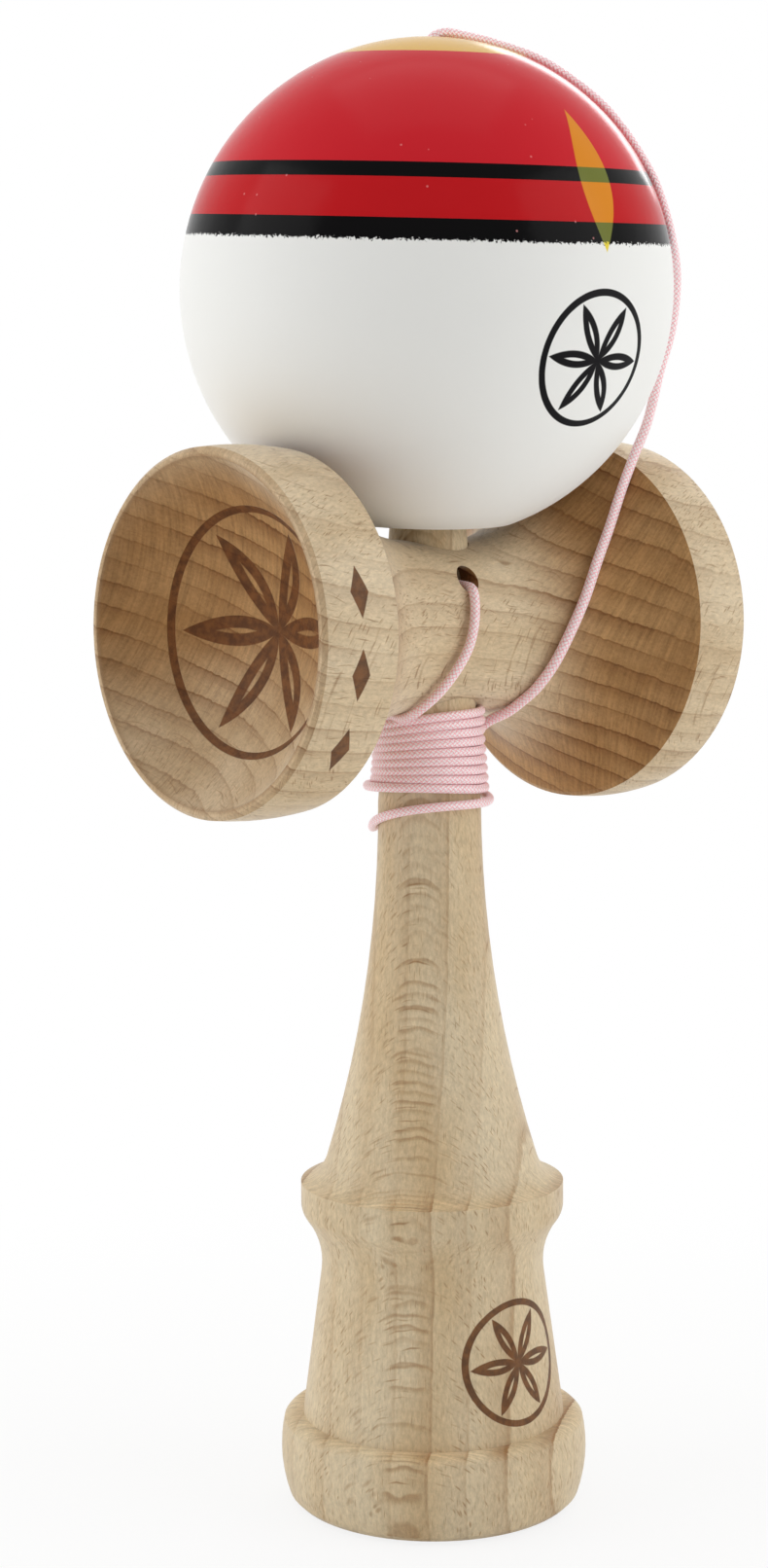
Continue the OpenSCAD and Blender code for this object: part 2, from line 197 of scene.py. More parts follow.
run_radius = np.interp(range(len(run)), [0, 3, 10, 17, 33], [LEAD_R, 0.66, 0.68, 0.6, 0.56])
route = [(*p, LEAD_R) for p in lead] + wound + [(*p, r) for p, r in zip(run, run_radius)]
print(len(route), "points on the route")

# %% [markdown]
# ### From points to a tube
# A cord bends smoothly, so a Catmull-Rom curve runs through the points, and it is cut into
# even steps to keep the braid even. Rings of points round that path are then joined by faces.
# Each ring starts from the last ring's direction, so the tube doesn't twist.

# %% A smooth path through the points
CORD_STEP = 0.5  # millimetres from ring to ring


def smooth_path(points, step):
    """A Catmull-Rom curve through the points, sampled at even steps, and its length."""
    p = np.array([2 * np.array(points[0]) - points[1], *points, 2 * np.array(points[-1]) - points[-2]])
    f = np.linspace(0, 1, 24, endpoint=False)[:, None]
    fine = [0.5 * (2 * b + (c - a) * f + (2 * a - 5 * b + 4 * c - d) * f**2 + (3 * b - a - 3 * c + d) * f**3)
            for a, b, c, d in zip(p[:-3], p[1:-2], p[2:-1], p[3:])]
    fine = np.vstack(fine + [p[-2:-1]])
    s = np.r_[0, np.cumsum(np.linalg.norm(np.diff(fine[:, :3], axis=0), axis=1))]
    even = np.linspace(0, s[-1], int(s[-1] / step) + 1)
    return np.column_stack([np.interp(even, s, fine[:, k]) for k in range(4)]), s[-1]


cord_path, cord_length = smooth_path(route, CORD_STEP)
print("the cord is %.0f mm long" % cord_length)


# %% A tube along a path
def ring_directions(centre, closed):
    """Two directions square to the path at each of its points, turned as little as possible."""
    n, first = len(centre), UP
    for i in range(n):
        ahead = centre[(i + 1) % n] if closed else centre[min(i + 1, n - 1)]
        behind = centre[i - 1] if closed else centre[max(i - 1, 0)]
        way = (ahead - behind).normalized()
        first = (first - way * first.dot(way)).normalized()
        yield first, way.cross(first)


def tube(name, path, sides, closed=False):
    """A tube with a UV map: across the map goes round the cord, up the map goes along it, in millimetres."""
    bm = bmesh.new()
    uv = bm.loops.layers.uv.new("braid_map")
    centre = [Vector(p[:3]) for p in path]
    turns = [2 * pi * k / sides for k in range(sides)]
    rings, along = [], [0.0]
    for i, (first, second) in enumerate(ring_directions(centre, closed)):
        r = float(path[i][3])
        rings.append([bm.verts.new((centre[i] + (cos(a) * first + sin(a) * second) * r) * MM) for a in turns])
        if i:
            along.append(along[-1] + (centre[i] - centre[i - 1]).length)
    along.append(along[-1] + CORD_STEP)  # for the faces that close a loop
    for i in range(len(rings) if closed else len(rings) - 1):
        a, b = rings[i], rings[(i + 1) % len(rings)]
        for k in range(sides):
            m = (k + 1) % sides
            face = bm.faces.new((a[k], a[m], b[m], b[k]))
            face.smooth = True
            places = ((k, i), (k + 1, i), (k + 1, i + 1), (k, i + 1))
            for loop, (u, v) in zip(face.loops, places):
                loop[uv].uv = (u / sides, along[v])
    if not closed:
        bm.faces.new(rings[0][::-1])
        bm.faces.new(rings[-1])
    bmesh.ops.recalc_face_normals(bm, faces=bm.faces)
    mesh = bpy.data.meshes.new(name)
    bm.to_mesh(mesh)
    bm.free()
    piece = bpy.data.objects.new(name, mesh)
    scene.collection.objects.link(piece)
    print(name, len(mesh.polygons), "faces")
    return piece


cord = tube("braided_cord", cord_path, 12)

# %% [markdown]
# ## The two knots
# One end of the cord is held by a stopper knot in the back of the tenon, the other by a knot
# under the bead. A drawn-up overhand knot is a trefoil pulled small, so a trefoil curve makes
# the path, and the tube above gives it the same braid as the cord.

# %% Knots
KNOT_R, KNOT_SIZE = 0.58, 0.44


def stopper_knot(name, at, way):
    """A trefoil knot at a place, drawn up along this way."""
    t = np.linspace(0, 2 * pi, 72, endpoint=False)
    trefoil = np.column_stack([np.sin(t) + 2 * np.sin(2 * t), np.cos(t) - 2 * np.cos(2 * t),
                               -1.5 * np.sin(3 * t)])
    turn = UP.rotation_difference(Vector(way)).to_matrix()
    path = [(*(turn @ Vector(p) + Vector(at)), KNOT_R) for p in trefoil * KNOT_SIZE]
    return tube(name, path, 10, closed=True)


handle_knot = stopper_knot("handle_stopper_knot", in_hole(-2.95), (sin(HOLE_TURN), cos(HOLE_TURN), 0))
bead_knot = stopper_knot("bead_stopper_knot", in_ball(11.8), BALL_AXIS)
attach(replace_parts(handle_knot, "handle_knot"), "handle")
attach(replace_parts(bead_knot, "bead_knot"), "bead")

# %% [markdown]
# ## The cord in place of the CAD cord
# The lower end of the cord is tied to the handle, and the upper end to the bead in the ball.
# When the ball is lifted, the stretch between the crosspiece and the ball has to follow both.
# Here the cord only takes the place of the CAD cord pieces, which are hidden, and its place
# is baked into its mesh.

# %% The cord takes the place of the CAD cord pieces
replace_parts(cord, "cord_lead", "cord_winding", "cord_run")
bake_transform(cord)
print("one cord and two knots take the place of five solids")

# %% [markdown]
# ## Working with shader nodes
# Every material below is made of small nodes wired together. A few helpers keep the wiring
# readable: one adds a node, and the others stand for the sums and the blends used most.

# %% Adding a node, and sums
def node(tree, kind, settings=None, **wires):
    """Adds a node. Wires name its inputs (or i0, i1 … by number), with a socket to link or a value to set."""
    new = tree.nodes.new(kind)
    for key, value in (settings or {}).items():
        setattr(new, key, value)
    for key, value in wires.items():
        at = int(key[1:]) if key[0] == "i" and key[1:].isdigit() else key.replace("_", " ")
        if isinstance(value, bpy.types.NodeSocket):
            tree.links.new(value, new.inputs[at])
        else:
            new.inputs[at].default_value = value
    return new


def maths(tree, operation, a, b=0.0, c=0.0):
    """One sum with up to three numbers."""
    return node(tree, "ShaderNodeMath", {"operation": operation}, i0=a, i1=b, i2=c).outputs[0]


def times(tree, first, *others):
    """The product of all the values."""
    for other in others:
        first = maths(tree, "MULTIPLY", first, other)
    return first


def scaled(tree, value, by, plus):
    """The value times one number, plus another."""
    return maths(tree, "MULTIPLY_ADD", value, by, plus)


def vector_maths(tree, operation, a, b):
    """One sum with two vectors."""
    new = node(tree, "ShaderNodeVectorMath", {"operation": operation}, i0=a, i1=b)
    return new.outputs["Value" if operation in ("DOT_PRODUCT", "LENGTH") else "Vector"]


print("nodes can be added and wired")


# %% Lengths, steps and noise
def flat_length(tree, x, y):
    """The length of the vector (x, y)."""
    squares = maths(tree, "ADD", maths(tree, "POWER", x, 2.0), maths(tree, "POWER", y, 2.0))
    return maths(tree, "SQRT", squares)


def split(tree, vector):
    """The three numbers of a vector."""
    parts = node(tree, "ShaderNodeSeparateXYZ", Vector=vector).outputs
    return parts["X"], parts["Y"], parts["Z"]


def rise(tree, value, low, high):
    """0 at low, 1 at high, with a smooth step between; low may be above high."""
    flip = low > high
    new = node(tree, "ShaderNodeMapRange", {"interpolation_type": "SMOOTHSTEP"}, Value=value,
               From_Min=min(low, high), From_Max=max(low, high),
               To_Min=1.0 if flip else 0.0, To_Max=0.0 if flip else 1.0)
    return new.outputs[0]


def noise(tree, vector, scale, detail=2.0, roughness=0.5, output="Fac"):
    """A smooth random pattern, 0 to 1."""
    new = node(tree, "ShaderNodeTexNoise", Vector=vector, Scale=scale, Detail=detail, Roughness=roughness)
    return new.outputs[output]


def stretched(tree, vector, x, y, z):
    """The vector with each of its numbers scaled."""
    return vector_maths(tree, "MULTIPLY", vector, (x, y, z))


def shifted(tree, value, fac, size):
    """The value, moved by a noise of 0 to 1 that is centred and given a size."""
    return maths(tree, "ADD", value, scaled(tree, fac, size, -0.5 * size))


print("lengths, steps and noise ready")


# %% Colours and materials
def ink(red, green, blue):
    """A colour as a paint maker would read it off a screen, 0 to 255, turned into light."""
    light = [((c / 255 + 0.055) / 1.055) ** 2.4 if c > 10 else c / 3294.6 for c in (red, green, blue)]
    return (*light, 1.0)


def blend_colour(tree, share, a, b, mode="MIX"):
    """The first colour at share 0, the second at share 1, or their product."""
    settings = {"data_type": "RGBA", "blend_type": mode, "clamp_factor": True}
    return node(tree, "ShaderNodeMix", settings, i0=share, i6=a, i7=b).outputs[2]


def new_material(name):
    """A material, its node tree and its shader."""
    material = bpy.data.materials.new(name)
    material.use_nodes = True
    tree = material.node_tree
    return material, tree, tree.nodes["Principled BSDF"]


def dress(name, material):
    """Gives the material to a CAD node in place of its own."""
    nodes[name].data.materials.clear()
    nodes[name].data.materials.append(material)
    print(name, "wears", material.name)


print("a middle grey on the screen is %.2f of full light" % ink(128, 128, 128)[0])

# %% [markdown]
# ## Floor, surround and lamps
# The picture was lit like a product in a white tent: bright walls left and right, a little
# less light from the camera's side, white all round. Two broad lamps stand for the walls and
# the world gives the rest. The world and the floor are plain white to the camera and in
# reflections, while the floor still takes the toy's soft shadow.

# %% World
WORLD_LIGHT, CAMERA_SIDE_LOSS = 0.8, -0.52


def seen_directly(tree):
    """1 for what the camera sees, straight on, in a reflection or through glass."""
    kinds = node(tree, "ShaderNodeLightPath").outputs
    seen = maths(tree, "MAXIMUM", kinds["Is Camera Ray"], kinds["Is Glossy Ray"])
    return maths(tree, "MAXIMUM", seen, kinds["Is Transmission Ray"])


to_camera = -level
world = bpy.data.worlds.new("white_tent")
scene.world = world
world.use_nodes = True
tree = world.node_tree
tree.nodes.clear()
white = node(tree, "ShaderNodeBackground", Color=(1, 1, 1, 1), Strength=1.0)
towards = vector_maths(tree, "DOT_PRODUCT", node(tree, "ShaderNodeTexCoord").outputs["Generated"], to_camera)
strength = scaled(tree, rise(tree, towards, -0.1, 0.95), CAMERA_SIDE_LOSS, WORLD_LIGHT)
lit = node(tree, "ShaderNodeBackground", Color=(1, 1, 1, 1), Strength=strength)
both = node(tree, "ShaderNodeMixShader", i0=seen_directly(tree), i1=lit.outputs[0], i2=white.outputs[0])
node(tree, "ShaderNodeOutputWorld", Surface=both.outputs[0])
front_light = round(WORLD_LIGHT + CAMERA_SIDE_LOSS, 2)
print("the world gives", WORLD_LIGHT, "from behind and", front_light, "from the front")

# %% Floor
FLOOR_R, FLOOR_Z = 4.0, -0.0004
SHADOW_NEAR, SHADOW_FAR = 0.03, 0.16  # the shadow fades out between these distances
bm = bmesh.new()
bmesh.ops.create_circle(bm, cap_ends=True, segments=96, radius=FLOOR_R)
bmesh.ops.translate(bm, verts=bm.verts, vec=(0, 0, FLOOR_Z))
floor_mesh = bpy.data.meshes.new("floor")
bm.to_mesh(floor_mesh)
bm.free()
floor = bpy.data.objects.new("floor", floor_mesh)
scene.collection.objects.link(floor)
floor_white, tree = new_material("floor_white")[:2]
tree.nodes.clear()
paint = node(tree, "ShaderNodeBsdfDiffuse", Color=(0.86, 0.86, 0.85, 1))
glow = node(tree, "ShaderNodeEmission", Color=(1, 1, 1, 1), Strength=1.0)
spread = vector_maths(tree, "LENGTH", node(tree, "ShaderNodeTexCoord").outputs["Object"], (0, 0, 0))
share = times(tree, seen_directly(tree), scaled(tree, rise(tree, spread, SHADOW_NEAR, SHADOW_FAR), 0.16, 0.84))
both = node(tree, "ShaderNodeMixShader", i0=share, i1=paint.outputs[0], i2=glow.outputs[0])
node(tree, "ShaderNodeOutputMaterial", Surface=both.outputs[0])
floor_mesh.materials.append(floor_white)
print("floor", round(floor.dimensions.x, 1), "m across")

# %% [markdown]
# ### Lamps
# Two walls and a roof of light make the soft, even shading. Gloss paint also needs something
# narrow to reflect: a strip lamp behind the ball, up to the right, draws the thin white line
# along the ball's edge. Its place follows from the mirror rule, since a reflection near the
# outline comes from almost straight behind.

# %% Lamps
WALL_FAR, WALL_RAISE, WALL_SIZE, WALL_WATTS = 0.62, 0.2, (0.5, 0.7), 1.7
ROOF_RAISE, ROOF_SIZE, ROOF_WATTS = 0.75, (0.6, 0.6), 0.9
STRIP_FAR, STRIP_SIZE, STRIP_WATTS = 0.5, (0.085, 0.22), 0.22
STRIP_OFF, STRIP_TURN = radians(28), radians(50)  # from the line of sight, and round it


def soft_lamp(name, at, aim, width, height, watts, lean=0.0):
    """A lamp like a lit sheet, in metres, that the camera doesn't see."""
    data = bpy.data.lights.new(name, "AREA")
    data.shape, data.size, data.size_y, data.energy = "RECTANGLE", width, height, watts
    lamp = bpy.data.objects.new(name, data)
    facing = (aim - at).to_track_quat("-Z", "Y").to_matrix().to_4x4()
    lamp.matrix_world = Matrix.Translation(at) @ facing @ Matrix.Rotation(lean, 4, "Z")
    lamp.visible_camera = False
    scene.collection.objects.link(lamp)


middle = 0.11 * UP  # about half-way up the toy
for name, way, nearer in (("left_wall", -WALL_FAR, 0.14), ("right_wall", WALL_FAR, 0.22)):
    at = middle + way * side + nearer * to_camera + WALL_RAISE * UP
    soft_lamp(name, at, middle, *WALL_SIZE, WALL_WATTS)
soft_lamp("roof", middle + ROOF_RAISE * UP - 0.05 * to_camera, middle, *ROOF_SIZE, ROOF_WATTS)
beyond = (BALL_AT - CAMERA_AT).normalized() * cos(STRIP_OFF)
beyond += (cos(STRIP_TURN) * picture_right + sin(STRIP_TURN) * picture_up) * sin(STRIP_OFF)
at = BALL_AT * MM + STRIP_FAR * beyond
soft_lamp("strip", at, BALL_AT * MM, *STRIP_SIZE, STRIP_WATTS, lean=-STRIP_TURN)
print("three soft lamps and a strip")

# %% [markdown]
# ## Beech
# The handle, the crosspiece and the bead are beech. Paint on the surface would break at every
# edge, so the wood is a solid pattern instead: growth rings are sheets a few millimetres apart across one
# direction, and the rays are thin ribbons that run square to the rings. Cut along the rings,
# a ray shows as a short dark dash; cut along the ray, as a curved flake; cut across the grain,
# the wood turns brown and the rings show as bands. The group works in millimetres, in the
# wood's own directions: X through the rings, Y along them, Z up the grain.


# %% Rings of the beech
def new_group(name, inputs, outputs):
    """An empty shader group, with the names and kinds of its inputs and outputs."""
    group = bpy.data.node_groups.new(name, "ShaderNodeTree")
    for way, sockets in (("INPUT", inputs), ("OUTPUT", outputs)):
        for label, kind in sockets.items():
            group.interface.new_socket(label, in_out=way, socket_type="NodeSocket" + kind)
    return group, group.nodes.new("NodeGroupInput").outputs, group.nodes.new("NodeGroupOutput").inputs


beech, take, give = new_group(
    "beech_grain",
    {"Place": "Vector", "End": "Float", "Flakes": "Float", "Ring width": "Float", "Ring start": "Float",
     "Ring depth": "Float", "Pale": "Color", "Tan": "Color", "Brown": "Color", "End tint": "Color"},
    {"Color": "Color", "Height": "Float", "Roughness": "Float"})
place, end = take["Place"], take["End"]
through, along, up_grain = split(beech, place)


def grain_noise(x, y, z, detail=2.0, roughness=0.5, output="Fac"):
    """A noise in the wood, with this many waves to the millimetre in each of its directions."""
    return noise(beech, stretched(beech, place, x, y, z), 1.0, detail, roughness, output)


def random_by(number):
    """A random value for each whole number."""
    whole = maths(beech, "FLOOR", number)
    return node(beech, "ShaderNodeTexWhiteNoise", {"noise_dimensions": "1D"}, W=whole).outputs["Value"]


across = shifted(beech, through, grain_noise(0.05, 0.05, 0.012, 1.0), 2.4)
across = shifted(beech, across, grain_noise(0.16, 0.0, 0.0, 1.0), 2.4)
across = shifted(beech, across, grain_noise(0.4, 1.3, 0.12), 0.5)
years = maths(beech, "ADD", maths(beech, "DIVIDE", across, take["Ring width"]), take["Ring start"])
ring = maths(beech, "FRACT", years)
fade = rise(beech, grain_noise(0.07, 0.07, 0.03), 0.3, 0.65)
bands = times(beech, take["Ring depth"], scaled(beech, end, 1.6, 1.0),
              maths(beech, "ADD", random_by(years), 0.5), scaled(beech, fade, 0.7, 0.3))
ring_end = rise(beech, ring, 1.0, 0.96)
late_wood = times(beech, rise(beech, ring, 0.3, 0.95), ring_end)
ring_line = times(beech, rise(beech, ring, 0.86, 0.95), ring_end)
print("rings made of", len(beech.nodes), "nodes")

# %% [markdown]
# ### Rays and flakes
# A Voronoi pattern fills space with cells, and stretching it makes cells of any proportion:
# ribbons long through the rings, or needles along the grain. A dark core in each cell is a
# ray. On the side of the handle that lies along the rays, whole sheets are cut at a slant, and
# their edges show as a column of arches; these are drawn one sheet at a time.

# %% Rays and flakes of the beech
RAY_SLANT = 0.28  # how far the rays lean along the grain
SHEET_GAP = 0.6  # millimetres from one cut sheet to the next


def rays(vector, size, inner, outer, rare=0.0):
    """Dark cores, one in each cell of a stretched Voronoi pattern, some fainter than others."""
    cells = node(beech, "ShaderNodeTexVoronoi", {"feature": "F1", "distance": "EUCLIDEAN"},
                 Vector=stretched(beech, vector, *(1 / s for s in size)), Scale=1.0)
    depth = node(beech, "ShaderNodeSeparateColor", Color=cells.outputs["Color"]).outputs[0]
    return times(beech, rise(beech, cells.outputs["Distance"], outer, inner), rise(beech, depth, rare, 1.0))


slanted = scaled(beech, up_grain, RAY_SLANT, along)
leaning = node(beech, "ShaderNodeCombineXYZ", X=through, Y=slanted, Z=up_grain).outputs[0]
ripple = grain_noise(0.16, 0.16, 0.1, output="Color")
bent = vector_maths(beech, "ADD", leaning, stretched(beech, ripple, 0.0, 1.1, 1.4))
swing = grain_noise(0.2, 0.2, 0.2, 1.0, output="Color")
wavy = vector_maths(beech, "ADD", place, stretched(beech, swing, 2.2, 0.0, 0.0))
long_rays = rays(bent, (26.0, 0.42, 2.3), 0.02, 0.4)
short_rays = rays(bent, (9.0, 0.22, 1.5), 0.08, 0.36)
dashes = rays(bent, (0.2, 9.0, 2.4), 0.06, 0.34, 0.25)
long_dashes = rays(wavy, (0.3, 9.0, 4.6), 0.04, 0.36, 0.2)
long_dashes = times(beech, long_dashes, maths(beech, "SUBTRACT", 1.0, take["Flakes"]))
sheet = shifted(beech, slanted, grain_noise(0.35, 0.35, 0.25, 1.0), 0.6)
sheet = maths(beech, "DIVIDE", sheet, SHEET_GAP)
edge = maths(beech, "FRACT", sheet)
column = maths(beech, "ABSOLUTE", shifted(beech, through, grain_noise(0.2, 0.2, 0.5), 2.0))
column = times(beech, rise(beech, column, 3.0, 1.8), rise(beech, along, 0.0, -2.0), take["Flakes"])
flakes = times(beech, rise(beech, edge, 1.0, 0.82), rise(beech, edge, 0.3, 0.8), random_by(sheet), column)
print("rings, rays and flakes made of", len(beech.nodes), "nodes")

# %% [markdown]
# ### Colour of the beech
# The colour starts as a soft change from pale to tan. Each feature then takes it some way
# towards brown, the pores and fibres make it lighter or darker, and the end grain, which
# soaks up oil, is tinted last. Pores, rays and ring lines also dent the surface a little.

# %% Colour of the beech
pores = grain_noise(2.6, 2.6, 1.0, 3.0, 0.75)
fibres = grain_noise(1.6, 1.6, 0.06)
mesh_lines = grain_noise(0.12, 2.6, 0.3, roughness=0.6)
cloud = rise(beech, grain_noise(0.11, 0.11, 0.03), 0.3, 0.7)
side_share = scaled(beech, end, -0.75, 1.0)
# The two sides beside the flake column are painted paler: partly the wood's own tone, partly painted light
# where they face the lamps.
paler_sides_partly_lit = times(beech, rise(beech, maths(beech, "ABSOLUTE", through), 4.0, 8.0), take["Flakes"])
colour = blend_colour(beech, times(beech, cloud, scaled(beech, paler_sides_partly_lit, -0.5, 1.0)), take["Pale"], take["Tan"])
for share in (times(beech, late_wood, bands, 0.8), times(beech, ring_line, bands),
              times(beech, short_rays, side_share, 0.7), times(beech, long_rays, side_share, 0.5),
              times(beech, dashes, side_share, 0.6), times(beech, long_dashes, side_share, 0.62),
              times(beech, flakes, 0.58)):
    colour = blend_colour(beech, share, colour, take["Brown"])
grey = shifted(beech, scaled(beech, fibres, 0.16, 0.92), pores, 0.75)
grey = maths(beech, "ADD", grey, times(beech, maths(beech, "SUBTRACT", mesh_lines, 0.5), end, 0.9))
grey = node(beech, "ShaderNodeCombineColor", i0=grey, i1=grey, i2=grey).outputs[0]
colour = blend_colour(beech, 1.0, colour, grey, "MULTIPLY")
colour = blend_colour(beech, end, colour, blend_colour(beech, 1.0, colour, take["End tint"], "MULTIPLY"))
dips = scaled(beech, long_rays, -0.25, times(beech, ring_line, -0.3))
beech.links.new(colour, give["Color"])
beech.links.new(scaled(beech, pores, 0.9, dips), give["Height"])
beech.links.new(scaled(beech, pores, 0.2, scaled(beech, long_rays, 0.08, 0.42)), give["Roughness"])
print("beech group:", len(beech.nodes), "nodes")

# %% [markdown]
# ## Marks burnt into the wood
# A hot tool leaves a shallow brown mark, darker where it stayed longer. The ornament is a
# six-petal compass rose, the first thing anyone draws with a pair of compasses: each petal lies
# inside two circles. Folding the angle like a fan means that half a petal is enough.

# %% Compass rose group
rose, take, give = new_group("compass_rose", {"Place": "Vector", "Radius": "Float"}, {"Drawn": "Float"})
x, y = split(rose, take["Place"])[:2]
radius = take["Radius"]
far = flat_length(rose, x, y)
fold = maths(rose, "PINGPONG", maths(rose, "ARCTAN2", y, x), pi / 6)
from_x = maths(rose, "SUBTRACT", times(rose, far, maths(rose, "COSINE", fold)), times(rose, radius, 0.5))
from_y = maths(rose, "ADD", times(rose, far, maths(rose, "SINE", fold)), times(rose, radius, sqrt(0.75)))
inside = maths(rose, "SUBTRACT", radius, flat_length(rose, from_x, from_y))
petal = rise(rose, inside, -0.14, 0.0)
heart = rise(rose, maths(rose, "DIVIDE", inside, radius), 0.118, 0.1)
from_circle = maths(rose, "ABSOLUTE", maths(rose, "SUBTRACT", far, times(rose, radius, 1.1)))
circle = rise(rose, from_circle, 0.45, 0.35)
rose.links.new(maths(rose, "MAXIMUM", times(rose, petal, heart), circle), give["Drawn"])
print("compass rose:", len(rose.nodes), "nodes")

# %% Burn group
burn, take, give = new_group("burnt_mark", {"Color": "Color", "Mark": "Float", "Place": "Vector"},
                             {"Color": "Color", "Dip": "Float"})
uneven = noise(burn, take["Place"], 0.9, 3.0, 0.6)
scorch = blend_colour(burn, rise(burn, uneven, 0.35, 0.65), ink(112, 66, 30), ink(80, 43, 16))
burn.links.new(blend_colour(burn, times(burn, take["Mark"], 0.92), take["Color"], scorch), give["Color"])
burn.links.new(times(burn, take["Mark"], -1.2), give["Dip"])
print("burnt mark:", len(burn.nodes), "nodes")

# %% [markdown]
# ## Wood for each turned piece
# The same group serves every wooden piece; only the directions and the colours differ. Bare,
# sanded beech hardly shines, so the gloss is low, and a little sheen stands for the fine
# fibres that catch the light at the edges.


# %% Wood material
def wood(name, axes, rings, colours, end_range):
    """A beech material. The axes go through the rings, along them and up the grain."""
    material, tree, shader = new_material(name)
    where = node(tree, "ShaderNodeTexCoord").outputs
    at = node(tree, "ShaderNodeMapping", Vector=where["Object"], Scale=TO_MM, Rotation=Matrix(axes).to_euler())
    facing = maths(tree, "ABSOLUTE", vector_maths(tree, "DOT_PRODUCT", where["Normal"], tuple(axes[2])))
    width, start, depth = rings
    pale, tan, brown, end_tint = (ink(*c) for c in colours)
    cut = node(tree, "ShaderNodeGroup", {"node_tree": beech}, Place=at.outputs[0],
               End=rise(tree, facing, *end_range), Ring_width=width, Ring_start=start, Ring_depth=depth,
               Pale=pale, Tan=tan, Brown=brown, End_tint=end_tint)
    shader.inputs["IOR"].default_value = 1.45
    shader.inputs["Specular IOR Level"].default_value = 0.15
    shader.inputs["Sheen Weight"].default_value = 0.3
    shader.inputs["Sheen Roughness"].default_value = 0.3
    return material, tree, shader, where, cut


def finish_wood(tree, shader, cut, colour, height, depth):
    """Wires the wood to its shader, with a surface this deep."""
    tree.links.new(colour, shader.inputs["Base Color"])
    tree.links.new(cut.outputs["Roughness"], shader.inputs["Roughness"])
    bump = node(tree, "ShaderNodeBump", Strength=0.5, Distance=depth, Height=height)
    tree.links.new(bump.outputs[0], shader.inputs["Normal"])


def finish_burnt_wood(tree, shader, cut, colour, mark, at):
    """Burns the mark into the wood, then wires the wood to its shader."""
    burnt = node(tree, "ShaderNodeGroup", {"node_tree": burn}, Color=colour, Mark=mark, Place=at).outputs
    height = maths(tree, "ADD", cut.outputs["Height"], burnt["Dip"])
    finish_wood(tree, shader, cut, burnt["Color"], height, 0.00008)


print("wood ready for the turned pieces")

# %% [markdown]
# ### The handle
# The handle was turned from a square stick, so its grain runs up its axis. Its rings stand
# square to the picture, so the rays show as a column of arched flakes on the side that faces
# us. Both sides of that column are painted paler, partly the wood's own tone and partly painted
# light where they face the lamps. A rose is burnt into the front of the skirt.

# %% Handle
RAY_FACE = radians(215)  # the side that lies along the rays
SKIRT_ROSE_Z, SKIRT_ROSE_R = 20.0, 6.6
out_of_face = Vector((cos(RAY_FACE), sin(RAY_FACE), 0))
across_face = Vector((-sin(RAY_FACE), cos(RAY_FACE), 0))
handle_wood, tree, shader, where, cut = wood(
    "handle_beech", (across_face, -out_of_face, UP), (4.6, 0.3, 0.26),
    ((217, 200, 169), (203, 178, 139), (152, 113, 74), (255, 253, 248)), (0.5, 0.98))
cut.inputs["Flakes"].default_value = 1.0
on_skirt = node(tree, "ShaderNodeMapping", Vector=where["Object"], Scale=TO_MM,
                Rotation=(pi / 2, 0, 0), Location=(0, SKIRT_ROSE_Z, 0)).outputs[0]
drawn = node(tree, "ShaderNodeGroup", {"node_tree": rose}, Place=on_skirt, Radius=SKIRT_ROSE_R).outputs[0]
front = rise(tree, split(tree, where["Object"])[1], 0.0, -0.002)
finish_burnt_wood(tree, shader, cut, cut.outputs["Color"], times(tree, drawn, front), on_skirt)
dress("handle", handle_wood)

# %% [markdown]
# ### The crosspiece
# The crosspiece's grain runs through both cups, so the bowls and the flares are end grain. The
# ring direction was read from the lines on the two bands. A lathe cuts a crisp lip. The lip and
# the lower part of the small bowl get less end-grain tint, a painted light that makes them read
# as lit, and a thin brown ring just inside the small cup's lip is a painted shade.

# %% Grain of the crosspiece
grain_way = Vector((1, 0.204, -0.052)).normalized()
ring_way = Vector((0.123, -0.371, 0.92))
ring_way = (ring_way - grain_way * ring_way.dot(grain_way)).normalized()
CROSS_BROWN = (138, 99, 62)
cross_wood, tree, shader, where, cut = wood(
    "crosspiece_beech", (ring_way, grain_way.cross(ring_way), grain_way), (2.9, 0.1, 0.26),
    ((219, 200, 169), (205, 182, 147), CROSS_BROWN, (202, 171, 135)), (0.22, 0.75))
cup_axes = Matrix(((0, 1, 0), (0, 0, 1), (1, 0, 0)))  # Z along the crosspiece, Y up
in_cup = node(tree, "ShaderNodeMapping", Vector=where["Object"], Scale=TO_MM,
              Rotation=cup_axes.to_euler(), Location=(0, -CROSS_Z, 0)).outputs[0]
cup_x, cup_y, cup_z = split(tree, in_cup)
axis_far = flat_length(tree, cup_x, cup_y)
small_side = rise(tree, cup_z, -23.5, -23.9)  # 1 over the small cup, 0 beyond it
# Painted light: the lip and the lower part of the small bowl lose some end-grain tint, so they read paler as if
# lit.
lip = times(tree, rise(tree, axis_far, 20.0, 20.4), rise(tree, maths(tree, "ABSOLUTE", cup_z), 32.0, 33.0))
painted_light_low_bowl = times(tree, small_side, rise(tree, axis_far, 20.5, 20.2), rise(tree, cup_y, 2.0, -17.0))
as_cut = cut.inputs["End"].links[0].from_socket
end_less_painted_light = times(tree, as_cut, scaled(tree, lip, -0.6, 1.0), scaled(tree, painted_light_low_bowl, -0.7, 1.0))
tree.links.new(end_less_painted_light, cut.inputs["End"])
# Painted shade: a thin brown ring darkens the small bowl just inside its lip.
painted_shade_ring = times(tree, rise(tree, axis_far, 19.9, 20.25), rise(tree, axis_far, 20.7, 20.3), small_side, 0.4)
cross_colour = blend_colour(tree, painted_shade_ring, cut.outputs["Color"], ink(*CROSS_BROWN))
print("the grain of the crosspiece leans %.0f degrees from its axis" % np.degrees(grain_way.angle((1, 0, 0))))

# %% [markdown]
# ### Marks on the crosspiece
# The small cup holds a rose, kept inside the bowl, and its band three lozenges. A lozenge is
# the set of points where two distances, each over its own half-length, add up to less than
# one. The angle round the axis is wrapped into steps, so one lozenge is drawn three times.

